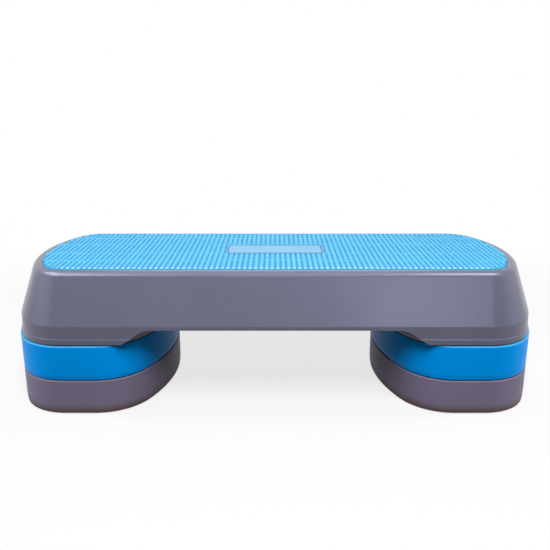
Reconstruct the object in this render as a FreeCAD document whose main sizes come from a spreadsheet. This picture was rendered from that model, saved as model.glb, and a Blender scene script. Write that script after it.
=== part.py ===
import FreeCAD, Part
import math
import os
import Sketcher

# Aerobic step platform: a moulded deck with a ribbed mat, standing on two stacks of two risers.
# Frame: millimetres, Z up, X along the deck, origin on the floor under the middle of the deck.

# Driving dimensions, in millimetres and degrees.
SIZES = {
    # Deck outline, taken at the lip around the legs, where the deck is widest.
    "deck_length": 762.2,
    "deck_width": 292.2,
    "end_bow": 50.5,
    "corner_radius": 73.1,
    # Deck levels, measured up from the level that its feet stand on.
    "deck_rise": 100,
    "crease_rise": 27.6,
    "lip_rise": 9,
    "arch_rise": 22.5,
    # Deck walls: a steep band from the lip up to a crease, and a wider flare above it.
    "lip_depth": 0.6,
    "band_angle": 1.2,
    "flare_angle": 18.5,
    "shell_wall": 3.2,
    "plate_wall": 4,
    "rim_width": 11.5,
    "rim_fillet": 10,
    # Cut-out between the legs of the deck.
    "arch_foot_length": 421,
    "arch_crown_length": 356,
    "arch_fillet": 32,
    # Mat in the tread.
    "recess_depth": 1.5,
    "mat_base": 2.2,
    "mat_rib_height": 1.8,
    "mat_rib_pitch": 7.6,
    "mat_groove_width": 3.4,
    "mat_clearance": 0.3,
    "panel_length": 140,
    "panel_width": 50,
    "panel_rise": 1,
    "panel_line": 1.6,
    # Risers, which stand a little proud of the lip of the deck all round.
    "riser_height": 50,
    "riser_length": 227.8,
    "riser_proud": 2.5,
    "shoulder_chamfer": 2,
    # Lugs on top of a riser that fit inside the walls of the piece above.
    "lug_length": 40,
    "lug_wall": 4,
    "lug_height": 8,
    "lug_clearance": 0.8,
    # Stiffening ribs.
    "rib_wall": 2.4,
    "deck_rib_depth": 38,
    "riser_rib_clearance": 6,
    # Rubber feet and the box posts that hold them.
    "foot_inset_x": 57.9,
    "foot_inset_y": 37.6,
    "foot_width": 20,
    "foot_head": 4,
    "foot_stand": 1.5,
    "foot_bevel": 1.2,
    "stem_width": 8,
    "stem_length": 10,
    "stem_clearance": 0.15,
    "stem_end_room": 2,
    "post_wall": 3.5,
    # Overrun that lets a cutting shape pass right through.
    "overrun": 5,
}

# Counts.
DECK_CROSS_RIBS = 5
DECK_LONG_RIBS = 3
RISER_LONG_RIBS = 3

# Distance under which two places count as one.
SAME_PLACE = 1e-4

SIDES = {"left": -1, "right": 1}
LEVELS = {"lower": 0, "upper": 1}
CORNERS = {"outer_front": (1, -1), "outer_rear": (1, 1), "inner_front": (-1, -1), "inner_rear": (-1, 1)}

doc = FreeCAD.newDocument("aerobic_step")
sheet = doc.addObject("Spreadsheet::Sheet", "sizes")
for row, (alias, number) in enumerate(SIZES.items(), start=1):
    sheet.set(f"A{row}", alias)
    sheet.set(f"B{row}", str(number))
    sheet.setAlias(f"B{row}", alias)
doc.recompute()

# Levels of the deck.
LEG_Z = f"{len(LEVELS)} * sizes.riser_height"
LEG_RIM_Z = f"({LEG_Z} + sizes.foot_stand)"
LIP_Z = f"({LEG_Z} + sizes.lip_rise)"
CREASE_Z = f"({LEG_Z} + sizes.crease_rise)"
ARCH_Z = f"({LEG_Z} + sizes.arch_rise)"
MAT_FLOOR_Z = f"({LEG_Z} + sizes.deck_rise - sizes.mat_base - sizes.mat_rib_height)"
RIM_Z = f"({MAT_FLOOR_Z} + sizes.recess_depth)"
PLATE_Z = f"({MAT_FLOOR_Z} - sizes.plate_wall)"
DECK_RIB_Z = f"({PLATE_Z} - sizes.deck_rib_depth)"

# Levels of a riser, from the surface that its feet stand on.
SHOULDER_Z = "sizes.riser_height"
RISER_PLATE_Z = "(sizes.riser_height - sizes.shell_wall)"
RISER_RIB_Z = "(sizes.lug_height + sizes.riser_rib_clearance)"

# Outlines: a rectangle with bowed ends and round corners, as length, width, bow radius, corner radius.
BOW_RADIUS = "((pow(sizes.deck_width / 2; 2) + pow(sizes.end_bow; 2)) / (2 * sizes.end_bow))"
DECK_OUTLINE = ("sizes.deck_length", "sizes.deck_width", BOW_RADIUS, "sizes.corner_radius")
RISER_WIDTH = "(sizes.deck_width + 2 * sizes.riser_proud)"
RISER_BOW = f"({BOW_RADIUS} + sizes.riser_proud)"
RISER_OUTLINE = ("sizes.riser_length", RISER_WIDTH, RISER_BOW, "(sizes.corner_radius + sizes.riser_proud)")
RISER_X = "(sizes.deck_length / 2 + sizes.riser_proud - sizes.riser_length / 2)"
LEG_GAP = f"(2 * {RISER_X} - sizes.riser_length)"
FOOT_SPACING_X = "(sizes.riser_length - 2 * sizes.foot_inset_x)"
FOOT_SPACING_Y = f"({RISER_WIDTH} - 2 * sizes.foot_inset_y)"
CREASE_INSET = f"(sizes.lip_depth + ({CREASE_Z} - {LEG_RIM_Z}) * tan(sizes.band_angle))"
RECESS_INSET = f"({CREASE_INSET} + ({RIM_Z} - {CREASE_Z}) * tan(sizes.flare_angle) + sizes.rim_width)"
LUG_INSET = (
    "(sizes.lip_depth + sizes.shell_wall + sizes.lug_height * tan(sizes.band_angle)"
    " + sizes.lug_clearance + sizes.riser_proud)"
)
BORE_WIDTH = "(sizes.stem_width + 2 * sizes.stem_clearance)"
POST_WIDTH = f"({BORE_WIDTH} + 2 * sizes.post_wall)"
MAT_LENGTH = f"(sizes.deck_length - 2 * {RECESS_INSET} - 2 * sizes.mat_clearance)"


def value(expression):
    """Number that an expression has now."""
    result = sheet.evalExpression(expression)
    return float(getattr(result, "Value", result))


def bind(target, expressions):
    """Bind properties of an object to expressions."""
    for path, expression in expressions.items():
        target.setExpression(path, expression)


def inset(outline, distance):
    """Outline moved inwards by a distance."""
    length, width, bow, corner = outline
    return (
        f"({length} - 2 * {distance})",
        f"({width} - 2 * {distance})",
        f"({bow} - {distance})",
        f"({corner} - {distance})",
    )


def new_body(name):
    """Empty body with its own label."""
    body = doc.addObject("PartDesign::Body", name)
    body.Label = name
    return body


def new_sketch(body, name, role, height):
    """Sketch on one of the body's origin planes, lifted along the plane's normal."""
    sketch = body.newObject("Sketcher::SketchObject", name)
    plane = next(item for item in body.Origin.OriginFeatures if item.Role == role)
    sketch.AttachmentSupport = [(plane, "")]
    sketch.MapMode = "FlatFace"
    sketch.setExpression("AttachmentOffset.Base.z", height)
    return sketch


def dimension(sketch, name, expression, *constraint):
    """Named dimension of a sketch, bound to an expression."""
    index = sketch.addConstraint(Sketcher.Constraint(*constraint, value(expression)))
    sketch.renameConstraint(index, name)
    sketch.setExpression(f"Constraints.{name}", expression)


def barrel(sketch, outline, tag=""):
    """Closed outline with bowed ends, round corners and straight long sides."""
    half_length, half_width = (value(size) / 2 for size in outline[:2])
    bow, corner = (value(size) for size in outline[2:])
    bow_x = half_length - bow
    corner_y = half_width - corner
    corner_x = bow_x + math.sqrt((bow - corner) ** 2 - corner_y ** 2)
    turn = math.atan2(corner_y, corner_x - bow_x)
    half_turn = math.pi
    quarter_turn = math.pi / 2

    def arc(x, y, radius, start, end):
        circle = Part.Circle(FreeCAD.Vector(x, y, 0), FreeCAD.Vector(0, 0, 1), radius)
        return Part.ArcOfCircle(circle, start, end)

    def side(sign):
        start = FreeCAD.Vector(sign * corner_x, sign * half_width, 0)
        return Part.LineSegment(start, FreeCAD.Vector(-sign * corner_x, sign * half_width, 0))

    first = sketch.addGeometry(arc(bow_x, 0, bow, -turn, turn))
    sketch.addGeometry(arc(corner_x, corner_y, corner, turn, quarter_turn))
    sketch.addGeometry(side(1))
    sketch.addGeometry(arc(-corner_x, corner_y, corner, quarter_turn, half_turn - turn))
    sketch.addGeometry(arc(-bow_x, 0, bow, half_turn - turn, half_turn + turn))
    sketch.addGeometry(arc(-corner_x, -corner_y, corner, half_turn + turn, half_turn + quarter_turn))
    sketch.addGeometry(side(-1))
    last = sketch.addGeometry(arc(corner_x, -corner_y, corner, -quarter_turn, -turn))
    apex = sketch.addGeometry(Part.Point(FreeCAD.Vector(half_length, 0, 0)), True)

    ring = list(range(first, last + 1))
    right_bow, corner_a, top_side, corner_b, left_bow, corner_c, _, corner_d = ring
    for here, after in zip(ring, ring[1:] + ring[:1]):
        sketch.addConstraint(Sketcher.Constraint("Tangent", here, 2, after, 1))
    sketch.addConstraint(Sketcher.Constraint("Equal", right_bow, left_bow))
    for other in (corner_b, corner_c, corner_d):
        sketch.addConstraint(Sketcher.Constraint("Equal", corner_a, other))
    for bow_arc in (right_bow, left_bow):
        sketch.addConstraint(Sketcher.Constraint("PointOnObject", bow_arc, 3, -1))
    sketch.addConstraint(Sketcher.Constraint("Symmetric", corner_a, 3, corner_b, 3, -2))
    sketch.addConstraint(Sketcher.Constraint("Vertical", corner_a, 3, corner_d, 3))
    sketch.addConstraint(Sketcher.Constraint("Vertical", corner_b, 3, corner_c, 3))
    sketch.addConstraint(Sketcher.Constraint("PointOnObject", apex, 1, right_bow))
    sketch.addConstraint(Sketcher.Constraint("PointOnObject", apex, 1, -1))
    dimension(sketch, f"bow{tag}", outline[2], "Radius", right_bow)
    dimension(sketch, f"corner{tag}", outline[3], "Radius", corner_a)
    dimension(sketch, f"half_length{tag}", f"{outline[0]} / 2", "DistanceX", -1, 1, apex, 1)
    dimension(sketch, f"half_width{tag}", f"{outline[1]} / 2", "DistanceY", -1, 1, top_side, 1)


def rectangle(sketch, length, width, tag=""):
    """Rectangle centred on the sketch's origin."""
    x = value(length) / 2
    y = value(width) / 2
    corners = [(x, y), (-x, y), (-x, -y), (x, -y)]
    points = [FreeCAD.Vector(px, py, 0) for px, py in corners]
    lines = [sketch.addGeometry(Part.LineSegment(a, b)) for a, b in zip(points, points[1:] + points[:1])]
    for here, after in zip(lines, lines[1:] + lines[:1]):
        sketch.addConstraint(Sketcher.Constraint("Coincident", here, 2, after, 1))
    for index, line in enumerate(lines):
        sketch.addConstraint(Sketcher.Constraint("Vertical" if index % 2 else "Horizontal", line))
    sketch.addConstraint(Sketcher.Constraint("Symmetric", lines[0], 1, lines[2], 1, -1, 1))
    dimension(sketch, f"length{tag}", length, "DistanceX", lines[2], 1, lines[2], 2)
    dimension(sketch, f"width{tag}", width, "DistanceY", lines[1], 2, lines[1], 1)


def extrude(body, kind, sketch, length, taper=None, downwards=False):
    """Pad or pocket of a sketch, up or down, with an optional taper."""
    feature = body.newObject(f"PartDesign::{kind}", f"{sketch.Name}_{kind.lower()}")
    feature.Profile = sketch
    feature.Reversed = downwards if kind == "Pad" else not downwards
    feature.setExpression("Length", length)
    if taper:
        feature.setExpression("TaperAngle", taper)
    doc.recompute()
    return feature


def edges_at(feature, height):
    """Names of the edges that lie flat at a height."""
    level = value(height)
    names = []
    for index, edge in enumerate(feature.Shape.Edges, start=1):
        box = edge.BoundBox
        if abs(box.ZMin - level) < SAME_PLACE and abs(box.ZMax - level) < SAME_PLACE:
            names.append(f"Edge{index}")
    return names


def round_edges(body, name, feature, edge_names, radius, kind="Fillet"):
    """Fillet or chamfer of some edges of a body."""
    rounding = body.newObject(f"PartDesign::{kind}", name)
    rounding.Base = (feature, edge_names)
    rounding.setExpression("Radius" if kind == "Fillet" else "Size", radius)
    doc.recompute()
    return rounding


def flared_block(name, distance, base, top):
    """Body that follows the deck's two sloping walls at a distance inside them, between two levels."""
    body = new_body(name)
    outline = inset(DECK_OUTLINE, f"({CREASE_INSET} + {distance})")
    flare = new_sketch(body, f"{name}_flare", "XY_Plane", CREASE_Z)
    barrel(flare, outline)
    extrude(body, "Pad", flare, f"{top} - {CREASE_Z}", "-sizes.flare_angle")
    band = new_sketch(body, f"{name}_band", "XY_Plane", CREASE_Z)
    barrel(band, outline)
    extrude(body, "Pad", band, f"{CREASE_Z} - {base}", "sizes.band_angle", downwards=True)
    return body


def upright_block(name, x_size, y_size, z_low, z_high, x="0", y="0"):
    """Upright block, such as a rib, a post or a lug, centred on a point in plan."""
    box = doc.addObject("Part::Box", name)
    bind(box, {
        "Length": x_size,
        "Width": y_size,
        "Height": f"{z_high} - {z_low}",
        "Placement.Base.x": f"{x} - {x_size} / 2",
        "Placement.Base.y": f"{y} - {y_size} / 2",
        "Placement.Base.z": z_low,
    })
    return box


def joined(name, shapes):
    """Fusion of several shapes."""
    fusion = doc.addObject("Part::MultiFuse", name)
    fusion.Shapes = shapes
    return fusion


def boolean(kind, name, base, tool):
    """Cut, Common or Fuse of two shapes."""
    result = doc.addObject(f"Part::{kind}", name)
    result.Base = base
    result.Tool = tool
    return result


def even_places(count, span):
    """Places of ribs that divide a span about the middle into equal bays."""
    return [f"{index - (count - 1) / 2} * {span} / {count + 1}" for index in range(count)]


def foot_places(x="0", side=1):
    """Places of the four feet of a riser or a leg, from the middle of its plan."""
    places = {}
    for corner, (end, direction) in CORNERS.items():
        along = f"({x} + {side * end} * {FOOT_SPACING_X} / 2)"
        across = f"({direction} * {FOOT_SPACING_Y} / 2)"
        places[corner] = (along, across)
    return places


def leg_x(side):
    """Place along the deck of the middle of a leg and its risers."""
    return f"({side} * {RISER_X})"


def deck_block():
    """Outer form of the deck: sloping walls, rounded rim, lip around the legs and mat recess."""
    body = flared_block("deck_block", "0", LEG_RIM_Z, RIM_Z)
    round_edges(body, "deck_rim", body.Tip, edges_at(body.Tip, RIM_Z), "sizes.rim_fillet")
    lip = new_sketch(body, "deck_lip", "XY_Plane", LEG_RIM_Z)
    barrel(lip, DECK_OUTLINE)
    extrude(body, "Pad", lip, f"{LIP_Z} - {LEG_RIM_Z}")
    recess = new_sketch(body, "deck_recess", "XY_Plane", RIM_Z)
    barrel(recess, inset(DECK_OUTLINE, RECESS_INSET))
    extrude(body, "Pocket", recess, "sizes.recess_depth", downwards=True)
    return body


def deck_arch():
    """Block that cuts the slanted opening between the legs into both long walls."""
    body = new_body("deck_arch")
    sketch = new_sketch(body, "arch_profile", "XZ_Plane", "0")
    foot = value("sizes.arch_foot_length") / 2
    crown = value("sizes.arch_crown_length") / 2
    low = value(LEG_Z)
    high = value(ARCH_Z)
    corners = [(-foot, low), (foot, low), (crown, high), (-crown, high)]
    points = [FreeCAD.Vector(x, z, 0) for x, z in corners]
    lines = [sketch.addGeometry(Part.LineSegment(a, b)) for a, b in zip(points, points[1:] + points[:1])]
    for here, after in zip(lines, lines[1:] + lines[:1]):
        sketch.addConstraint(Sketcher.Constraint("Coincident", here, 2, after, 1))
    sketch.addConstraint(Sketcher.Constraint("Symmetric", lines[0], 1, lines[0], 2, -2))
    sketch.addConstraint(Sketcher.Constraint("Symmetric", lines[2], 1, lines[2], 2, -2))
    dimension(sketch, "foot", "sizes.arch_foot_length", "DistanceX", lines[0], 1, lines[0], 2)
    dimension(sketch, "crown", "sizes.arch_crown_length", "DistanceX", lines[2], 2, lines[2], 1)
    dimension(sketch, "low", LEG_Z, "DistanceY", -1, 1, lines[0], 1)
    dimension(sketch, "high", ARCH_Z, "DistanceY", -1, 1, lines[2], 1)
    prism = extrude(body, "Pad", sketch, "sizes.deck_width + 2 * sizes.overrun")
    prism.SideType = "Symmetric"
    doc.recompute()
    crown_edges = []
    for index, edge in enumerate(prism.Shape.Edges, start=1):
        box = edge.BoundBox
        if box.XLength < SAME_PLACE and abs(box.Center.z - high) < SAME_PLACE:
            crown_edges.append(f"Edge{index}")
    round_edges(body, "arch_crown", prism, crown_edges, "sizes.arch_fillet")
    return body


def rib_grid(name, columns, rows, x_size, y_size, z_low, z_high):
    """Ribs that cross at right angles, at the given places along and across the deck."""
    ribs = []
    for index, x in enumerate(columns):
        ribs.append(upright_block(f"{name}_cross_rib_{index}", "sizes.rib_wall", y_size, z_low, z_high, x=x))
    for index, y in enumerate(rows):
        ribs.append(upright_block(f"{name}_long_rib_{index}", x_size, "sizes.rib_wall", z_low, z_high, y=y))
    return ribs


def foot_posts(name, places, level, top):
    """Box posts over the feet that stand on a level, and the bores for the feet's stems."""
    low = f"({level} + sizes.foot_head)"
    bore_top = f"({low} + sizes.stem_length + sizes.stem_end_room)"
    posts = []
    bores = []
    for corner, (x, y) in places.items():
        posts.append(upright_block(f"{name}_post_{corner}", POST_WIDTH, POST_WIDTH, low, top, x, y))
        bores.append(upright_block(f"{name}_bore_{corner}", BORE_WIDTH, BORE_WIDTH, low, bore_top, x, y))
    return posts, bores


def leg_prism(name, side, *outlines):
    """Upright body over one leg of the deck, between one or two outlines."""
    body = new_body(name)
    plan = new_sketch(body, f"{name}_plan", "XY_Plane", LEG_RIM_Z)
    for index, outline in enumerate(outlines):
        barrel(plan, outline, f"_{index}")
    extrude(body, "Pad", plan, f"{RIM_Z} - {LEG_RIM_Z}")
    body.setExpression("Placement.Base.x", leg_x(side))
    return body


def post_webs(name, places):
    """Webs that tie the posts of a leg to its long walls."""
    low = f"({LEG_Z} + sizes.foot_head)"
    reach = "sizes.foot_inset_y"
    webs = []
    for corner, (x, y) in places.items():
        way = CORNERS[corner][1]
        middle = f"({y} + {way} * {reach} / 2)"
        webs.append(upright_block(f"{name}_web_{corner}", "sizes.rib_wall", reach, low, RIM_Z, x, middle))
    return webs


def deck_frame():
    """Ribs between the legs, the curved inner walls of the legs and the posts for the feet."""
    columns = even_places(DECK_CROSS_RIBS, LEG_GAP)
    rows = even_places(DECK_LONG_RIBS, "sizes.deck_width")
    ribs = rib_grid("deck", columns, rows, "sizes.deck_length", "sizes.deck_width", DECK_RIB_Z, RIM_Z)
    spaces = []
    shapes = []
    webs = []
    bores = []
    for side_name, side in SIDES.items():
        inner = inset(RISER_OUTLINE, "sizes.shell_wall")
        shapes.append(leg_prism(f"leg_wall_{side_name}", side, RISER_OUTLINE, inner))
        spaces.append(leg_prism(f"leg_space_{side_name}", side, inset(RISER_OUTLINE, "(sizes.shell_wall / 2)")))
        places = foot_places(leg_x(side), side)
        posts, holes = foot_posts(f"leg_{side_name}", places, LEG_Z, RIM_Z)
        shapes += posts
        bores += holes
        webs += post_webs(f"leg_{side_name}", places)
    leg_spaces = joined("leg_spaces", spaces)
    shapes.append(boolean("Cut", "deck_ribs", joined("deck_rib_grid", ribs), leg_spaces))
    shapes.append(boolean("Common", "leg_webs", joined("leg_web_blocks", webs), leg_spaces))
    return boolean("Cut", "deck_frame", joined("deck_frame_solid", shapes), joined("deck_bores", bores))


def deck_shell():
    """Moulded deck: hollow block with arched walls, joined to its inner frame."""
    hollow = flared_block("deck_hollow", "sizes.shell_wall", LEG_Z, PLATE_Z)
    reach = flared_block("deck_reach", "sizes.shell_wall / 2", LEG_Z, f"({PLATE_Z} + sizes.plate_wall / 2)")
    walls = boolean("Cut", "deck_walls", deck_block(), hollow)
    open_walls = boolean("Cut", "deck_open_walls", walls, deck_arch())
    inner = boolean("Common", "deck_inner", deck_frame(), reach)
    deck = boolean("Fuse", "deck_shell", open_walls, inner)
    deck.Label = "deck_shell"
    return deck


def riser_lugs():
    """Lugs on the shoulder of a riser, which follow the walls of the piece that stands on it."""
    ring = new_body("lug_ring")
    plan = new_sketch(ring, "lug_plan", "XY_Plane", RISER_PLATE_Z)
    barrel(plan, inset(RISER_OUTLINE, LUG_INSET), "_outer")
    barrel(plan, inset(RISER_OUTLINE, f"({LUG_INSET} + sizes.lug_wall)"), "_inner")
    top = f"({SHOULDER_Z} + sizes.lug_height)"
    extrude(ring, "Pad", plan, f"{top} - {RISER_PLATE_Z}")
    ends = upright_block("lug_ends", "sizes.riser_length", "sizes.lug_length", RISER_PLATE_Z, top)
    sides = upright_block("lug_sides", "sizes.lug_length", RISER_WIDTH, RISER_PLATE_Z, top)
    return boolean("Common", "riser_lugs", ring, joined("lug_places", [ends, sides]))


def riser_shell():
    """Walls and top plate of a riser, open below, centred on the origin."""
    body = new_body("riser_shell")
    base = "sizes.foot_stand"
    outer = new_sketch(body, "riser_outer", "XY_Plane", base)
    barrel(outer, RISER_OUTLINE)
    block = extrude(body, "Pad", outer, f"{SHOULDER_Z} - {base}")
    top_edges = edges_at(block, SHOULDER_Z)
    round_edges(body, "riser_shoulder", block, top_edges, "sizes.shoulder_chamfer", "Chamfer")
    hollow = new_sketch(body, "riser_hollow", "XY_Plane", base)
    barrel(hollow, inset(RISER_OUTLINE, "sizes.shell_wall"))
    extrude(body, "Pocket", hollow, f"{RISER_PLATE_Z} - {base}")
    return body


def riser_frame():
    """Ribs and posts inside a riser, which end inside its walls and top plate."""
    reach = new_body("riser_reach")
    middle = new_sketch(reach, "riser_middle", "XY_Plane", "0")
    barrel(middle, inset(RISER_OUTLINE, "(sizes.shell_wall / 2)"))
    extrude(reach, "Pad", middle, f"{RISER_PLATE_Z} + sizes.shell_wall / 2")
    columns = [f"{end} * {FOOT_SPACING_X} / 2" for end in SIDES.values()]
    rows = even_places(RISER_LONG_RIBS, RISER_WIDTH)
    ribs = rib_grid("riser", columns, rows, "sizes.riser_length", RISER_WIDTH, RISER_RIB_Z, SHOULDER_Z)
    posts, bores = foot_posts("riser", foot_places(), "0", SHOULDER_Z)
    frame = boolean("Cut", "riser_frame", joined("riser_frame_solid", ribs + posts), joined("riser_bores", bores))
    return boolean("Common", "riser_inner", frame, reach)


def risers():
    """Four equal risers, two on each side, which share one shell and one frame."""
    shell = riser_shell()
    inner = joined("riser_inside", [riser_frame(), riser_lugs()])
    made = []
    for level_name, level in LEVELS.items():
        for side_name, side in SIDES.items():
            riser = boolean("Fuse", f"{level_name}_riser_{side_name}", shell, inner)
            riser.Label = f"{level_name}_riser_{side_name}"
            bind(riser, {
                "Placement.Base.x": leg_x(side),
                "Placement.Base.z": f"{level} * sizes.riser_height",
            })
            made.append(riser)
    return made


def top_mat():
    """Ribbed mat with a smooth panel in the middle, set in a shallow field."""
    body = new_body("top_mat")
    outline = inset(DECK_OUTLINE, f"({RECESS_INSET} + sizes.mat_clearance)")
    mat_top = f"({MAT_FLOOR_Z} + sizes.mat_base + sizes.mat_rib_height)"
    sheet_sketch = new_sketch(body, "mat_outline", "XY_Plane", MAT_FLOOR_Z)
    barrel(sheet_sketch, outline)
    extrude(body, "Pad", sheet_sketch, "sizes.mat_base + sizes.mat_rib_height")
    groove = new_sketch(body, "mat_groove", "XY_Plane", mat_top)
    rectangle(groove, "sizes.mat_groove_width", "sizes.deck_width")
    cut = extrude(body, "Pocket", groove, "sizes.mat_rib_height", downwards=True)
    for name, backwards in (("right", False), ("left", True)):
        pattern = body.newObject("PartDesign::LinearPattern", f"mat_grooves_{name}")
        pattern.Originals = [cut]
        axis = next(item for item in body.Origin.OriginFeatures if item.Role == "X_Axis")
        pattern.Direction = (axis, [""])
        pattern.Reversed = backwards
        pattern.Mode = "Spacing"
        pattern.setExpression("Offset", "sizes.mat_rib_pitch")
        pattern.setExpression("Occurrences", f"floor({MAT_LENGTH} / 2 / sizes.mat_rib_pitch)")
        body.Tip = pattern
        doc.recompute()
    field = new_sketch(body, "mat_field", "XY_Plane", mat_top)
    rectangle(field, "(sizes.panel_length + 2 * sizes.panel_line)", "(sizes.panel_width + 2 * sizes.panel_line)")
    extrude(body, "Pocket", field, "sizes.mat_rib_height", downwards=True)
    panel = new_sketch(body, "mat_panel", "XY_Plane", MAT_FLOOR_Z)
    rectangle(panel, "sizes.panel_length", "sizes.panel_width")
    extrude(body, "Pad", panel, "sizes.mat_base + sizes.panel_rise")
    return body


def foot(name, x, y, z):
    """Rubber foot: square pad with bevelled lower edges and a stem that goes up into its post."""
    body = new_body(name)
    pad_sketch = new_sketch(body, f"{name}_plan", "XY_Plane", "0")
    rectangle(pad_sketch, "sizes.foot_width", "sizes.foot_width")
    pad = extrude(body, "Pad", pad_sketch, "sizes.foot_head")
    round_edges(body, f"{name}_bevel", pad, edges_at(pad, "0"), "sizes.foot_bevel", "Chamfer")
    stem = new_sketch(body, f"{name}_stem", "XY_Plane", "sizes.foot_head")
    rectangle(stem, "sizes.stem_width", "sizes.stem_width")
    extrude(body, "Pad", stem, "sizes.stem_length")
    bind(body, {"Placement.Base.x": x, "Placement.Base.y": y, "Placement.Base.z": z})
    return body


def feet():
    """Rubber feet of the deck and of every riser."""
    made = []
    for side_name, side in SIDES.items():
        for corner, (x, y) in foot_places(leg_x(side), side).items():
            made.append(foot(f"deck_foot_{side_name}_{corner}", x, y, LEG_Z))
            for level_name, level in LEVELS.items():
                made.append(foot(f"{level_name}_foot_{side_name}_{corner}", x, y, f"{level} * sizes.riser_height"))
    return made


parts = [deck_shell(), top_mat(), *risers(), *feet()]
doc.recompute()

for item in doc.Objects:
    if "Invalid" in item.State or "Error" in item.State:
        raise RuntimeError(f"{item.Name} failed: {item.State}")
for part in parts:
    if part.Shape.isNull() or not part.Shape.isValid() or len(part.Shape.Solids) != 1:
        raise RuntimeError(f"{part.Label} is not one valid solid")

os.makedirs("parts", exist_ok=True)
for part in parts:
    part.Shape.exportStep(f"parts/{part.Label}.step")
    print(part.Label, round(part.Shape.Volume))
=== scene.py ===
import bmesh
import bpy
import math
from mathutils import Matrix, Vector


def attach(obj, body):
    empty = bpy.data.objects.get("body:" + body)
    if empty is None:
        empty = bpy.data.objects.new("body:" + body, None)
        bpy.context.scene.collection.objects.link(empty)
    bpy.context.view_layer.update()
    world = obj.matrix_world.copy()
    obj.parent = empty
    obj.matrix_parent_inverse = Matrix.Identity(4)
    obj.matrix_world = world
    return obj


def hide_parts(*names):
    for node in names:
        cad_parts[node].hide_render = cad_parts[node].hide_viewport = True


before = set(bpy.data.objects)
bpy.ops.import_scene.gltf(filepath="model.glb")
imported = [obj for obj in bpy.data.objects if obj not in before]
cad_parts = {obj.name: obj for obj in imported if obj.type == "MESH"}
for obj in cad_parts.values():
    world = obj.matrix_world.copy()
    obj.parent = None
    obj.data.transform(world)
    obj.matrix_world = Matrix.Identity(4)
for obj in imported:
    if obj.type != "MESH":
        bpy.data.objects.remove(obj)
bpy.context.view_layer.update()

# Lower risers.
# Two grey blocks that stand on the floor, each injection moulded in polypropylene as a shell that
# is open below, with ribs and foot posts inside and lugs on its shoulder for the piece above.

# Shapes are made in millimetres. An outline is half length, half width, bow radius, corner radius.
MM = 0.001
MERGE = 0.001
RISER_OUTLINE = (113.9, 148.6, 239.09, 75.6)
RISER_X = 269.7
RISER_RISE = 50
RISER_RIM_Z = 1.5
RISER_SKIRT_Z = 8.5
RISER_SKIRT_INSET = 0.7
RISER_TOP_REACH = 40
RISER_RIB_Z = 14
RISER_RIB_TOP_Z = 48
RISER_POST_Z = 4
RISER_LONG_RIBS = ((-74.3, 100.4), (0, 112.3), (74.3, 100.4))
RISER_CROSS_RIB = 138.3
WALL = 3.2
RIB = 2.4
POST = 15.3
POST_X = 56
POST_Y = 111
POST_WALL = 3.5
SOCKET_DEPTH = 12
LUG = (40, 4, 8)
LUG_ROOT = 2
LUG_INSET = 7.27
LUG_ROUNDING = 0.8


def outline_arcs(outline):
    """Bow centre, corner centre and the angle where the bow meets the corner of an outline."""
    half_length, half_width, bow, corner = outline
    bow_x = half_length - bow
    corner_y = half_width - corner
    corner_x = bow_x + math.sqrt((bow - corner) ** 2 - corner_y ** 2)
    return bow_x, corner_x, corner_y, math.atan2(corner_y, corner_x - bow_x)


def swept_wall(outline, profile):
    """Sweeps a section, given as inset, height and rounding, round an outline and closes its middle."""
    bow_x, corner_x, corner_y, turn = outline_arcs(outline)
    bm = bmesh.new()
    points = [bm.verts.new((outline[0] - inset, 0, z)) for inset, z, _ in profile]
    for here, after in zip(points, points[1:]):
        bm.edges.new((here, after))
    for point, (_, _, rounding) in zip(points, profile):
        if rounding:
            bmesh.ops.bevel(bm, geom=[point], offset=rounding, segments=6, profile=0.5,
                            affect="VERTICES", material=-1)
    section = bmesh.ops.spin(bm, geom=bm.verts[:] + bm.edges[:], cent=(bow_x, 0, 0),
                             axis=(0, 0, 1), angle=turn, steps=14)["geom_last"]
    section = bmesh.ops.spin(bm, geom=section, cent=(corner_x, corner_y, 0), axis=(0, 0, 1),
                             angle=math.pi / 2 - turn, steps=18)["geom_last"]
    edges = [item for item in section if isinstance(item, bmesh.types.BMEdge)]
    straight = bmesh.ops.extrude_edge_only(bm, edges=edges)["geom"]
    moved = [item for item in straight if isinstance(item, bmesh.types.BMVert)]
    bmesh.ops.translate(bm, verts=moved, vec=(-corner_x, 0, 0))
    for axis in ("X", "Y"):
        part = bm.verts[:] + bm.edges[:] + bm.faces[:]
        bmesh.ops.mirror(bm, geom=part, axis=axis, merge_dist=MERGE)
    bmesh.ops.remove_doubles(bm, verts=bm.verts, dist=MERGE)
    bmesh.ops.holes_fill(bm, edges=bm.edges, sides=0)
    bmesh.ops.recalc_face_normals(bm, faces=bm.faces)
    return bm


def block(bm, low, high):
    """Adds an upright block between two corners."""
    size = Vector(high) - Vector(low)
    place = Matrix.Translation(Vector(low) + size / 2) @ Matrix.Diagonal((*size, 1))
    return bmesh.ops.create_cube(bm, size=1, matrix=place)["verts"]


def foot_post(bm, x, y, low, high):
    """Adds a box post with a square socket in its lower end for the stem of a foot."""
    half = POST / 2
    verts = block(bm, (x - half, y - half, low), (x + half, y + half, high))
    faces = {face for vert in verts for face in vert.link_faces}
    end = min(faces, key=lambda face: face.calc_center_median().z)
    bmesh.ops.inset_individual(bm, faces=[end], thickness=POST_WALL)
    socket = bmesh.ops.extrude_face_region(bm, geom=[end])["geom"]
    bmesh.ops.delete(bm, geom=[end], context="FACES_ONLY")
    deep = [item for item in socket if isinstance(item, bmesh.types.BMVert)]
    bmesh.ops.translate(bm, verts=deep, vec=(0, 0, SOCKET_DEPTH))


def add_shape(bm, other):
    """Adds one shape to another."""
    mesh = bpy.data.meshes.new("added")
    other.to_mesh(mesh)
    other.free()
    bm.from_mesh(mesh)
    bpy.data.meshes.remove(mesh)


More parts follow.
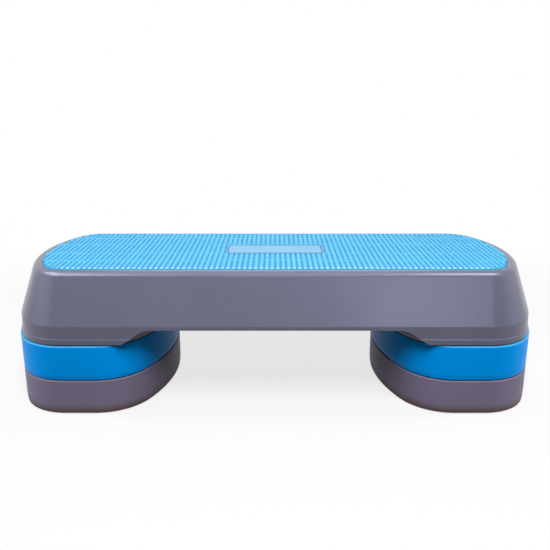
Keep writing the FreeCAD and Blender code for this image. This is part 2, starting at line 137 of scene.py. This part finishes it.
def riser_lugs():
    """The four lugs on the shoulder of a riser: one along each curved end and each straight side."""
    bow_x, _, _, _ = outline_arcs(RISER_OUTLINE)
    long, thick, high = LUG
    low, top = RISER_RISE - LUG_ROOT, RISER_RISE + high
    outer = RISER_OUTLINE[0] - LUG_INSET
    inner = outer - thick
    swing = long / (outer - bow_x)
    bm = bmesh.new()
    section = ((outer, low), (outer, top), (inner, top), (inner, low))
    corners = [bm.verts.new((x, 0, z)) for x, z in section]
    bm.faces.new(corners)
    bmesh.ops.rotate(bm, verts=corners, cent=(bow_x, 0, 0), matrix=Matrix.Rotation(-swing / 2, 3, "Z"))
    bmesh.ops.spin(bm, geom=bm.verts[:] + bm.edges[:] + bm.faces[:], cent=(bow_x, 0, 0),
                   axis=(0, 0, 1), angle=swing, steps=8)
    bmesh.ops.mirror(bm, geom=bm.verts[:] + bm.edges[:] + bm.faces[:], axis="X", merge_dist=MERGE)
    side_y = RISER_OUTLINE[1] - LUG_INSET
    for low_y in (-side_y, side_y - thick):
        block(bm, (-long / 2, low_y, low), (long / 2, low_y + thick, top))
    bmesh.ops.recalc_face_normals(bm, faces=bm.faces)
    sharp = math.radians(60)
    rims = [edge for edge in bm.edges if edge.is_manifold and edge.calc_face_angle() > sharp]
    bmesh.ops.bevel(bm, geom=rims, offset=LUG_ROUNDING, segments=3, profile=0.5,
                    affect="EDGES", material=-1)
    return bm


def riser_shape(side, level):
    """Shape of one riser, at an end of the deck and a level of the stack."""
    ceiling = RISER_RISE - WALL
    bm = swept_wall(RISER_OUTLINE, [
        (RISER_TOP_REACH, ceiling, 0), (WALL, ceiling, 2), (WALL, RISER_RIM_Z, 0.6),
        (RISER_SKIRT_INSET, RISER_RIM_Z, 0.9), (0, RISER_SKIRT_Z, 0.8),
        (0, RISER_RISE, 1.6), (RISER_TOP_REACH, RISER_RISE, 0),
    ])
    add_shape(bm, riser_lugs())
    for y, reach in RISER_LONG_RIBS:
        block(bm, (-reach, y - RIB / 2, RISER_RIB_Z), (reach, y + RIB / 2, RISER_RIB_TOP_Z))
    for x in (-POST_X, POST_X):
        block(bm, (x - RIB / 2, -RISER_CROSS_RIB, RISER_RIB_Z),
              (x + RIB / 2, RISER_CROSS_RIB, RISER_RIB_TOP_Z))
        for y in (-POST_Y, POST_Y):
            foot_post(bm, x, y, RISER_POST_Z, RISER_RIB_TOP_Z)
    bmesh.ops.translate(bm, verts=bm.verts, vec=(side * RISER_X, 0, level * RISER_RISE))
    return bm


def linear(code):
    """Linear colour of an sRGB hex value."""
    parts = [int(code[at:at + 2], 16) / 255 for at in (1, 3, 5)]
    return (*(part / 12.92 if part <= 0.04045 else ((part + 0.055) / 1.055) ** 2.4 for part in parts), 1)


def add_node(owner, kind, settings, links):
    """Adds a shader node with its settings and its links, and returns it."""
    node = owner.node_tree.nodes.new(f"ShaderNode{kind}")
    for name, setting in settings.items():
        if isinstance(name, int) or name in node.inputs:
            node.inputs[name].default_value = setting
        else:
            setattr(node, name, setting)
    for name, source in links.items():
        owner.node_tree.links.new(source, node.inputs[name])
    return node


def moulded_polypropylene(name, dark, light, sheen, specular, tint, painted_light_bands):
    """Injection-moulded polypropylene. Faint clouds where the melt flowed, a fine spark-eroded
    grain, thin scratches from handling, and bands of painted shade or painted highlight between two
    heights."""
    material = bpy.data.materials.new(name)
    material.use_nodes = True
    material.node_tree.nodes.clear()
    place = add_node(material, "TexCoord", {}, {}).outputs["Object"]
    # Flow clouds about 90 mm long.
    flow = add_node(material, "TexNoise", {"Scale": 1 / (90 * MM), "Detail": 3, "Roughness": 0.6},
                    {"Vector": place})
    body = add_node(material, "MixRGB", {"Color1": linear(dark), "Color2": linear(light)},
                    {"Fac": flow.outputs["Fac"]})
    # Each painted band of shade or highlight fades from its first height to its second, with specks about 3
    # mm long.
    height = add_node(material, "SeparateXYZ", {}, {"Vector": place})
    specks = add_node(material, "TexNoise", {"Scale": 1 / (3 * MM), "Detail": 4}, {"Vector": place})
    for clear_z, full_z, colour in painted_light_bands:
        fade = add_node(material, "MapRange", {"From Min": clear_z * MM, "From Max": full_z * MM},
                        {"Value": height.outputs["Z"]})
        spread = add_node(material, "Math", {"operation": "MULTIPLY_ADD", 1: 0.5},
                          {0: specks.outputs["Fac"], 2: fade.outputs["Result"]})
        amount = add_node(material, "Math", {"operation": "MULTIPLY", "use_clamp": True},
                          {0: spread.outputs["Value"], 1: fade.outputs["Result"]})
        body = add_node(material, "MixRGB", {"Color2": linear(colour)},
                        {"Fac": amount.outputs["Value"], "Color1": body.outputs["Color"]})
    # Faint scratches about 30 mm long, really 0.5 mm wide and drawn at 0.9 mm so that they show,
    # which come and go in patches of about 25 mm.
    along = add_node(material, "Mapping", {
        "Scale": (1 / (30 * MM), 1 / (30 * MM), 1 / (0.9 * MM)), "Rotation": (0.1, 0.12, 0),
    }, {"Vector": place})
    scratch = add_node(material, "TexNoise", {"Scale": 1, "Detail": 1}, {"Vector": along.outputs["Vector"]})
    marks = add_node(material, "TexNoise", {"Scale": 1 / (25 * MM), "Detail": 5, "Roughness": 0.7},
                     {"Vector": place})
    wear_and_shade = add_node(material, "Math", {"operation": "MULTIPLY"},
                    {0: scratch.outputs["Fac"], 1: marks.outputs["Fac"]})
    satin = add_node(material, "MapRange", {
        "From Min": 0.1, "From Max": 0.4, "To Min": sheen - 0.01, "To Max": sheen + 0.01,
    }, {"Value": wear_and_shade.outputs["Value"]})
    # Grain of the tool, really about 0.2 mm and drawn at 1.4 mm so that it shows.
    grain = add_node(material, "TexNoise", {"Scale": 1 / (1.4 * MM), "Detail": 2}, {"Vector": place})
    bump = add_node(material, "Bump", {"Strength": 0.3, "Distance": 0.06 * MM},
                    {"Height": grain.outputs["Fac"]})
    surface = add_node(material, "BsdfPrincipled", {
        "IOR": 1.49, "Specular IOR Level": specular, "Specular Tint": linear(tint),
    }, {
        "Base Color": body.outputs["Color"], "Roughness": satin.outputs["Result"],
        "Normal": bump.outputs["Normal"],
    })
    add_node(material, "OutputMaterial", {}, {"Surface": surface.outputs["BSDF"]})
    return material


def finish_piece(bm, name, body, material):
    """Makes a shape a piece that rides on its body."""
    bmesh.ops.scale(bm, vec=(MM, MM, MM), verts=bm.verts)
    mesh = bpy.data.meshes.new(name)
    bm.to_mesh(mesh)
    bm.free()
    mesh.shade_smooth()
    mesh.set_sharp_from_angle(angle=math.radians(32))
    mesh.materials.append(material)
    piece = bpy.data.objects.new(name, mesh)
    bpy.context.scene.collection.objects.link(piece)
    piece.modifiers.new("even shading", "WEIGHTED_NORMAL").keep_sharp = True
    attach(piece, body)
    return piece


# The foot of the grey wall is painted darker and browner than the rest, a painted warm shade from the
# floor.
grey_plastic = moulded_polypropylene(
    "grey_polypropylene", dark="#766f88", light="#807992", sheen=0.5, specular=0.12, tint="#ffffff",
    painted_light_bands=[(18, 2, "#64504e")])
for side_name, side in (("left", -1), ("right", 1)):
    riser = finish_piece(riser_shape(side, 0), f"lower_riser_{side_name}_moulding",
                         f"lower_riser_{side_name}_body", grey_plastic)
    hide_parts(f"lower_riser_{side_name}")

# Upper risers.
# The same moulding in blue polypropylene, plugged over the lugs of the grey risers and held by
# its own lugs inside the legs of the deck. Its upper edge is painted pale, a painted highlight along its
# shoulder.
blue_plastic = moulded_polypropylene(
    "blue_polypropylene", dark="#0096f2", light="#009ffc", sheen=0.4, specular=0.1, tint="#1a9cff",
    painted_light_bands=[(98.9, 99.9, "#4ea8d8")])
for side_name, side in (("left", -1), ("right", 1)):
    riser = finish_piece(riser_shape(side, 1), f"upper_riser_{side_name}_moulding",
                         f"upper_riser_{side_name}_body", blue_plastic)
    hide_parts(f"upper_riser_{side_name}")

# Deck.
# One large polypropylene moulding: a flared wall over a crease, a lip round the legs, an arch
# between them, and under the tread curved leg walls, foot posts and a grid of ribs.
DECK_OUTLINE = (381.1, 146.1, 236.59, 73.1)
DECK_TOP_REACH = 60
LEG_RIM_Z = 101.5
LEG_RIM_INSET = 0.4
LIP_Z = 109
BAND_Z = 110.4
BAND_INSET = 0.76
CREASE_Z = 127.6
CREASE_INSET = 1.15
RIM_Z = 197.5
RIM_INSET = 24.54
RIM_ROUNDING = 7.2
RECESS_INSET = 36.04
TREAD_Z = 196
PLATE_Z = 192
PLATE_INSET = 25.9
RIB_Z = 154
RIB_TOP_Z = 194
RIB_TOP_INSET = 24.96
RIB_FOOT_Z = 100.5
RIB_FOOT_INSET = 2.2
CROSS_RIBS = (-103.9, -51.9, 0, 51.9, 103.9)
CROSS_RIB_REACH = 149
LONG_RIBS = (-73, 0, 73)
DECK_POST_Z = 104
GUSSET_NEAR = 118
GUSSET_FAR = 137
ARCH = ((-210.5, 100), (-178, 122.5), (178, 122.5), (210.5, 100))
ARCH_ROUNDING = 9.5
ARCH_REACH = 160


def combine(bm, tool, operation):
    """Boolean of two shapes."""
    objects = []
    for shape in (bm, tool):
        mesh = bpy.data.meshes.new("operand")
        shape.to_mesh(mesh)
        shape.free()
        objects.append(bpy.data.objects.new("operand", mesh))
        bpy.context.scene.collection.objects.link(objects[-1])
    modifier = objects[0].modifiers.new("boolean", "BOOLEAN")
    modifier.object = objects[1]
    modifier.operation = operation
    modifier.solver = "EXACT"
    modifier.use_self = True
    made = objects[0].evaluated_get(bpy.context.evaluated_depsgraph_get())
    result = bmesh.new()
    result.from_mesh(made.to_mesh())
    for item in objects:
        bpy.data.meshes.remove(item.data)
    return result


# The section runs from the recess over the rim, down the flared wall to the lip, and back inside.
deck = swept_wall(DECK_OUTLINE, [
    (DECK_TOP_REACH, TREAD_Z, 0), (RECESS_INSET, TREAD_Z, 0.5), (RECESS_INSET, RIM_Z, 1),
    (RIM_INSET, RIM_Z, RIM_ROUNDING), (CREASE_INSET, CREASE_Z, 0.9), (BAND_INSET, BAND_Z, 0.3),
    (0, LIP_Z, 0.3), (LEG_RIM_INSET, LEG_RIM_Z, 0.8), (WALL, LEG_RIM_Z, 0.6),
    (BAND_INSET + WALL, LIP_Z, 0), (CREASE_INSET + WALL, CREASE_Z, 2),
    (PLATE_INSET, PLATE_Z, 4), (DECK_TOP_REACH, PLATE_Z, 0),
])
arch = bmesh.new()
arch_points = [arch.verts.new((x, -ARCH_REACH, z)) for x, z in ARCH]
for here, after in zip(arch_points, arch_points[1:] + arch_points[:1]):
    arch.edges.new((here, after))
bmesh.ops.bevel(arch, geom=arch_points[1:3], offset=ARCH_ROUNDING, segments=10, profile=0.5,
                affect="VERTICES", material=-1)
arch_face = bmesh.ops.contextual_create(arch, geom=arch.edges)["faces"]
arch_far = bmesh.ops.extrude_face_region(arch, geom=arch_face)["geom"]
arch_far = [item for item in arch_far if isinstance(item, bmesh.types.BMVert)]
bmesh.ops.translate(arch, verts=arch_far, vec=(0, 2 * ARCH_REACH, 0))
bmesh.ops.recalc_face_normals(arch, faces=arch.faces)
deck = combine(deck, arch, "DIFFERENCE")

under_tread = bmesh.new()
for x in CROSS_RIBS:
    block(under_tread, (x - RIB / 2, -CROSS_RIB_REACH, RIB_Z), (x + RIB / 2, CROSS_RIB_REACH, TREAD_Z))
# The long ribs end in the middle of the leg's curved wall.
leg_bow = RISER_OUTLINE[2] - WALL / 2
leg_bow_x = RISER_X - RISER_OUTLINE[0] + RISER_OUTLINE[2]
for y in LONG_RIBS:
    reach = leg_bow_x - math.sqrt(leg_bow ** 2 - y ** 2)
    block(under_tread, (-reach, y - RIB / 2, RIB_Z), (reach, y + RIB / 2, TREAD_Z))
for side in (-1, 1):
    leg = swept_wall(RISER_OUTLINE, [
        (0, LEG_RIM_Z, 0.6), (0, TREAD_Z, 0), (WALL, TREAD_Z, 0), (WALL, LEG_RIM_Z, 0.6),
    ])
    bmesh.ops.translate(leg, verts=leg.verts, vec=(side * RISER_X, 0, 0))
    add_shape(under_tread, leg)
    for x in (side * RISER_X - POST_X, side * RISER_X + POST_X):
        for y, low_y, high_y in ((-POST_Y, -GUSSET_FAR, -GUSSET_NEAR), (POST_Y, GUSSET_NEAR, GUSSET_FAR)):
            foot_post(under_tread, x, y, DECK_POST_Z, TREAD_Z)
            block(under_tread, (x - RIB / 2, low_y, DECK_POST_Z), (x + RIB / 2, high_y, TREAD_Z))
# What is under the tread is cut off in the middle of the deck's wall.
walls_middle = swept_wall(DECK_OUTLINE, [
    (DECK_TOP_REACH, RIB_TOP_Z, 0), (RIB_TOP_INSET, RIB_TOP_Z, 0), (CREASE_INSET + WALL / 2, CREASE_Z, 0),
    (RIB_FOOT_INSET, RIB_FOOT_Z, 0), (DECK_TOP_REACH, RIB_FOOT_Z, 0),
])
add_shape(deck, combine(under_tread, walls_middle, "INTERSECT"))
deck_plastic = moulded_polypropylene(
    "grey_violet_polypropylene", dark="#58596f", light="#626379", sheen=0.29, specular=0.46,
    tint="#ffffff", painted_light_bands=[])
deck = finish_piece(deck, "deck_moulding", "deck", deck_plastic)
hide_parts("deck_shell")

# Mat.
# A light blue sheet of thermoplastic rubber, moulded with rounded ribs across the tread and four
# ridges along it, and bonded into the deck's recess.
MAT_OUTLINE = (344.77, 109.77, 200.25, 36.77)
MAT_TOP_REACH = 20
MAT_EDGE = 0.6
MAT_ROOT_Z = 197
MAT_BASE_Z = 198.2
MAT_TOP_Z = 200
RIB_PITCH = 7.6
RIB_WIDTH = 5.6
RIB_SLOPE = 1.2
RIB_ROUNDING = 2.5
RIDGE_Y = 27.8
RIDGE_OUTER_Y = 70
RIDGE_WIDTH = 2.8
RIDGE_ROUNDING = 1.3
RIDGE_Z = 199.9
PANEL_FRAME_X = 72.8
CORNER_TOLERANCE = 0.1
LONG_EDGE_ROUNDINGS = 2.2


def mat_half_width(x):
    """Half the width of the mat at a place along it."""
    _, _, bow, corner = MAT_OUTLINE
    bow_x, corner_x, corner_y, turn = outline_arcs(MAT_OUTLINE)
    if x <= corner_x:
        return MAT_OUTLINE[1]
    if x <= corner_x + corner * math.cos(turn):
        return corner_y + math.sqrt(corner ** 2 - (x - corner_x) ** 2)
    return math.sqrt(bow ** 2 - (x - bow_x) ** 2)


def moulded_bar(bm, low, high, slope, rounding):
    """Adds a bar whose ends slope and whose long upper edges are rounded, such as a rib of the mat.
    An edge is long when there is room for a rounding at both of its ends."""
    verts = block(bm, low, high)
    above = low[2] + CORNER_TOLERANCE
    for edge_y, way in ((low[1], slope), (high[1], -slope)):
        crest = [vert for vert in verts
                 if vert.co.z > above and abs(vert.co.y - edge_y) < CORNER_TOLERANCE]
        bmesh.ops.translate(bm, verts=crest, vec=(0, way, 0))
    edges = {edge for vert in verts for edge in vert.link_edges}
    long = LONG_EDGE_ROUNDINGS * rounding
    upper = [edge for edge in edges
             if min(vert.co.z for vert in edge.verts) > above and edge.calc_length() > long]
    bmesh.ops.bevel(bm, geom=upper, offset=rounding, segments=5, profile=0.5,
                    affect="EDGES", material=-1)


mat = swept_wall(MAT_OUTLINE, [
    (MAT_TOP_REACH, MAT_BASE_Z, 0), (0, MAT_BASE_Z, 0.7), (0, TREAD_Z, 0), (MAT_TOP_REACH, TREAD_Z, 0),
])
# Ribs and the inner ridges stop at the frame of the panel.
rib_count = int(MAT_OUTLINE[0] / RIB_PITCH)
for index in range(-rib_count, rib_count):
    x = (index + 0.5) * RIB_PITCH
    end = mat_half_width(abs(x) + RIB_WIDTH / 2) - MAT_EDGE
    runs = ((-end, end),)
    if abs(x) < PANEL_FRAME_X:
        runs = ((-end, -RIDGE_Y), (RIDGE_Y, end))
    for low_y, high_y in runs:
        moulded_bar(mat, (x - RIB_WIDTH / 2, low_y, MAT_ROOT_Z), (x + RIB_WIDTH / 2, high_y, MAT_TOP_Z),
                    RIB_SLOPE, RIB_ROUNDING)
mat_bow_x, _, _, _ = outline_arcs(MAT_OUTLINE)
for y in (-RIDGE_OUTER_Y, -RIDGE_Y, RIDGE_Y, RIDGE_OUTER_Y):
    reach = mat_bow_x + math.sqrt(MAT_OUTLINE[2] ** 2 - (abs(y) + RIDGE_WIDTH) ** 2) - MAT_EDGE
    runs = ((-reach, reach),)
    if abs(y) == RIDGE_Y:
        runs = ((-reach, -PANEL_FRAME_X), (PANEL_FRAME_X, reach))
    for low_x, high_x in runs:
        moulded_bar(mat, (low_x, y - RIDGE_WIDTH / 2, MAT_ROOT_Z), (high_x, y + RIDGE_WIDTH / 2, RIDGE_Z),
                    0, RIDGE_ROUNDING)


def moulded_rubber(name, deep, crest, low, high, sheen, specular, highlight_and_colour_strips):
    """Moulded thermoplastic rubber: matt and slightly clouded, with painted shade that makes it deeper in
    colour in the troughs and paler on the crests, and strips on the crests in another colour."""
    material = bpy.data.materials.new(name)
    material.use_nodes = True
    material.node_tree.nodes.clear()
    place = add_node(material, "TexCoord", {}, {}).outputs["Object"]
    height = add_node(material, "SeparateXYZ", {}, {"Vector": place})
    # Lower down the colour is deeper, which on the mat and the panel is painted shade in the troughs and
    # groove.
    wear_and_shade = add_node(material, "MapRange", {"From Min": low * MM, "From Max": high * MM},
                    {"Value": height.outputs["Z"]})
    body = add_node(material, "MixRGB", {"Color1": linear(deep), "Color2": linear(crest)},
                    {"Fac": wear_and_shade.outputs["Result"]})
    # Each strip runs from a clear to a fully pale distance from the middle; on the mat it is a painted
    # highlight on the rib ends.
    across = add_node(material, "Math", {"operation": "ABSOLUTE"}, {0: height.outputs["Y"]})
    for clear_y, full_y, pale in highlight_and_colour_strips:
        strip = add_node(material, "MapRange", {"From Min": clear_y * MM, "From Max": full_y * MM},
                         {"Value": across.outputs["Value"]})
        amount = add_node(material, "Math", {"operation": "MULTIPLY"},
                          {0: strip.outputs["Result"], 1: wear_and_shade.outputs["Result"]})
        body = add_node(material, "MixRGB", {"Color2": linear(pale)},
                        {"Fac": amount.outputs["Value"], "Color1": body.outputs["Color"]})
    # Clouds of wear about 60 mm across.
    clouds = add_node(material, "TexNoise", {"Scale": 1 / (60 * MM), "Detail": 4, "Roughness": 0.65},
                      {"Vector": place})
    tread_wear = add_node(material, "MapRange", {"To Min": 0.94, "To Max": 1.05},
                          {"Value": clouds.outputs["Fac"]})
    colour = add_node(material, "HueSaturation", {},
                      {"Value": tread_wear.outputs["Result"], "Color": body.outputs["Color"]})
    satin = add_node(material, "MapRange", {"To Min": sheen + 0.1, "To Max": sheen - 0.08},
                     {"Value": clouds.outputs["Fac"]})
    # Matt grain, really about 0.3 mm and drawn at 1.2 mm so that it shows.
    grain = add_node(material, "TexNoise", {"Scale": 1 / (1.2 * MM), "Detail": 2}, {"Vector": place})
    bump = add_node(material, "Bump", {"Strength": 0.4, "Distance": 0.08 * MM},
                    {"Height": grain.outputs["Fac"]})
    surface = add_node(material, "BsdfPrincipled", {"IOR": 1.5, "Specular IOR Level": specular}, {
        "Base Color": colour.outputs["Color"], "Roughness": satin.outputs["Result"],
        "Normal": bump.outputs["Normal"],
    })
    add_node(material, "OutputMaterial", {}, {"Surface": surface.outputs["BSDF"]})
    return material


# The troughs of the mat are painted deeper as painted shade, and strips along its long edges are painted
# pale as painted highlights on the rib ends.
mat_rubber = moulded_rubber(
    "light_blue_rubber", deep="#409ecc", crest="#62bfec", low=MAT_BASE_Z, high=199.4, sheen=0.6,
    specular=0.06, highlight_and_colour_strips=[(105, 108, "#b0e4ff")])
mat = finish_piece(mat, "mat_moulding", "deck", mat_rubber)
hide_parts("top_mat")

# Panel.
# The smooth bare field in the middle of the mat, moulded with it in the same rubber but polished
# in the tool, so it is paler and shinier, with a groove and a low frame round it.
PANEL_LOW = (-70.6, -23.4, MAT_ROOT_Z)
PANEL_HIGH = (70.6, 23.4, 199.2)
PANEL_ROUNDING = 0.2
PANEL_FRAME_Z = 199.4
GROOVE_LOW = (-72, -27, MAT_ROOT_Z)
GROOVE_HIGH = (72, 27, 198.3)
panel = bmesh.new()
moulded_bar(panel, PANEL_LOW, PANEL_HIGH, 0, PANEL_ROUNDING)
block(panel, GROOVE_LOW, GROOVE_HIGH)
for y in (-RIDGE_Y, RIDGE_Y):
    moulded_bar(panel, (-PANEL_FRAME_X, y - RIDGE_WIDTH / 2, MAT_ROOT_Z),
                (PANEL_FRAME_X, y + RIDGE_WIDTH / 2, PANEL_FRAME_Z), 0, RIDGE_ROUNDING)
for x in (-PANEL_FRAME_X, PANEL_FRAME_X):
    moulded_bar(panel, (x - RIDGE_WIDTH / 2, -RIDGE_Y, MAT_ROOT_Z),
                (x + RIDGE_WIDTH / 2, RIDGE_Y, PANEL_FRAME_Z), 0, RIDGE_ROUNDING)
# The groove round the panel is painted dark as painted shade, and the long sides of the frame keep the
# colour of the mat.
panel_rubber = moulded_rubber(
    "polished_light_blue_rubber", deep="#125a80", crest="#6eabd2", low=198.95, high=199.15, sheen=0.5,
    specular=0.15, highlight_and_colour_strips=[(25.5, 26.5, "#62bfec")])
finish_piece(panel, "mat_panel", "deck", panel_rubber)

# Feet.
# Soft dark rubber pads, pressed by their stems into the posts of the deck and of each riser.
# The feet are a little darker in the lowest 3 mm above the floor.
foot_rubber = moulded_rubber(
    "dark_foot_rubber", deep="#202024", crest="#2c2c31", low=0, high=3, sheen=0.7, specular=0.3,
    highlight_and_colour_strips=[])
for name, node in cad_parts.items():
    if "_foot_" in name:
        node.data.materials.clear()
        node.data.materials.append(foot_rubber)

# Floor, light and camera.
# A white floor that keeps the shadow round the object, and is one-sided and mostly see-through, so
# that a riser slid below it stays in sight. The backdrop is white with an even fill.
FLOOR_SIZE = 8
FLOOR_NEAR = 0.55
FLOOR_FAR = 1.1
FLOOR_CLEAR_NEAR = 0.75
FILL_STRENGTH = 0.13
floor_shape = bmesh.new()
bmesh.ops.create_grid(floor_shape, x_segments=1, y_segments=1, size=FLOOR_SIZE)
floor_mesh = bpy.data.meshes.new("floor")
floor_shape.to_mesh(floor_mesh)
floor_shape.free()
floor = bpy.data.objects.new("floor", floor_mesh)
bpy.context.scene.collection.objects.link(floor)

world = bpy.data.worlds.new("studio")
bpy.context.scene.world = world
floor_paint = bpy.data.materials.new("white_floor")
floor_mesh.materials.append(floor_paint)
backdrop_seen = {}
for owner in (world, floor_paint):
    owner.use_nodes = True
    owner.node_tree.nodes.clear()
    ray = add_node(owner, "LightPath", {}, {})
    mirrored = add_node(owner, "Math", {},
                        {0: ray.outputs["Is Glossy Ray"], 1: ray.outputs["Is Transmission Ray"]})
    seen = add_node(owner, "Math", {}, {0: mirrored.outputs["Value"], 1: ray.outputs["Is Camera Ray"]})
    backdrop_seen[owner.name] = seen.outputs["Value"]

fill = add_node(world, "Background", {"Color": (1, 1, 1, 1), "Strength": FILL_STRENGTH}, {})
white = add_node(world, "Background", {"Color": (1, 1, 1, 1), "Strength": 1}, {})
backdrop = add_node(world, "MixShader", {}, {
    0: backdrop_seen["studio"], 1: fill.outputs["Background"], 2: white.outputs["Background"],
})
add_node(world, "OutputWorld", {}, {"Surface": backdrop.outputs["Shader"]})

# The floor is clear white far from the object, and a share of it is matt near the object.
floor_point = add_node(floor_paint, "TexCoord", {}, {}).outputs["Object"]
distance = add_node(floor_paint, "VectorMath", {"operation": "LENGTH"}, {"Vector": floor_point})
clear_share = add_node(floor_paint, "MapRange", {
    "interpolation_type": "SMOOTHSTEP", "From Min": FLOOR_NEAR, "From Max": FLOOR_FAR,
    "To Min": FLOOR_CLEAR_NEAR, "To Max": 1,
}, {"Value": distance.outputs["Value"]})
matt = add_node(floor_paint, "BsdfDiffuse", {"Color": linear("#e4e4e4")}, {})
clear = add_node(floor_paint, "BsdfTransparent", {}, {})
lit = add_node(floor_paint, "MixShader", {}, {
    0: clear_share.outputs["Result"], 1: matt.outputs["BSDF"], 2: clear.outputs["BSDF"],
})
# The light that the floor throws back on the object is dim and warm.
bounce = add_node(floor_paint, "BsdfDiffuse", {"Color": linear("#72645c")}, {})
paint = add_node(floor_paint, "MixShader", {}, {
    0: backdrop_seen["white_floor"], 1: bounce.outputs["BSDF"], 2: lit.outputs["Shader"],
})
below = add_node(floor_paint, "NewGeometry", {}, {})
one_sided = add_node(floor_paint, "MixShader", {}, {
    0: below.outputs["Backfacing"], 1: paint.outputs["Shader"], 2: clear.outputs["BSDF"],
})
add_node(floor_paint, "OutputMaterial", {}, {"Surface": one_sided.outputs["Shader"]})

# A softbox and a lamp at each end light the colours, and panels round the object give the gloss.
# The back panel does both. Places and sizes are in metres, and power is in watts.
LIGHT_AIM = Vector((0, 0, 0.15))
for name, power, width, depth, stand, colour, diffuse, glossy in (
    ("overhead softbox", 28.5, 0.6, 0.8, (0.05, -0.95, 1.5), "#ffffff", True, False),
    ("left end fill", 8, 0.3, 0.3, (-1.4, -0.05, 0.45), "#ffffff", True, False),
    ("right end fill", 8, 0.3, 0.3, (1.4, -0.05, 0.45), "#ffffff", True, False),
    ("back panel", 13, 1.6, 1.6, (0, 1.9, 0.8), "#ffffff", True, True),
    ("left side panel", 40, 1.4, 0.7, (-1.05, -0.3, 1.45), "#eef0ff", False, True),
    ("right side panel", 21, 0.6, 0.6, (0.85, -0.42, 1.55), "#eef0ff", False, True),
    ("overhead sheet", 24, 1.6, 2.2, (0, -0.25, 1.7), "#d8e3ff", False, True),
    ("front panel", 3.5, 2.4, 0.8, (0, -1.9, 0.85), "#eef2ff", False, True),
    ("left low panel", 2.8, 1, 0.6, (-1.45, -0.7, 0.5), "#e4e8ff", False, True),
    ("right low panel", 1.4, 1, 0.6, (1.6, -0.3, 0.5), "#eef2ff", False, True),
    ("right front panel", 3.2, 0.45, 0.45, (0.53, -1.55, 0.62), "#dadeff", False, True),
):
    lamp = bpy.data.lights.new(name, "AREA")
    lamp.shape = "RECTANGLE"
    lamp.size = width
    lamp.size_y = depth
    lamp.energy = power
    lamp.color = linear(colour)[:3]
    light = bpy.data.objects.new(name, lamp)
    light.location = stand
    light.visible_camera = False
    light.visible_diffuse = diffuse
    light.visible_glossy = glossy
    light.rotation_euler = (Vector(stand) - LIGHT_AIM).to_track_quat("Z", "Y").to_euler()
    bpy.context.scene.collection.objects.link(light)

# The camera looks down a little along +Y, from in front of the middle of the deck.
CAMERA_PLACE = (0, -0.9071, 0.4283)
CAMERA_TILT = 14.57
camera_data = bpy.data.cameras.new("camera")
camera_data.sensor_width = 36
camera_data.lens = 39.72
camera_data.shift_x = -0.0001
camera_data.shift_y = -0.0398
camera = bpy.data.objects.new("camera", camera_data)
camera.location = CAMERA_PLACE
camera.rotation_euler = (math.radians(90 - CAMERA_TILT), 0, 0)
bpy.context.scene.collection.objects.link(camera)
bpy.context.scene.camera = camera
bpy.context.scene.view_settings.view_transform = "Standard"
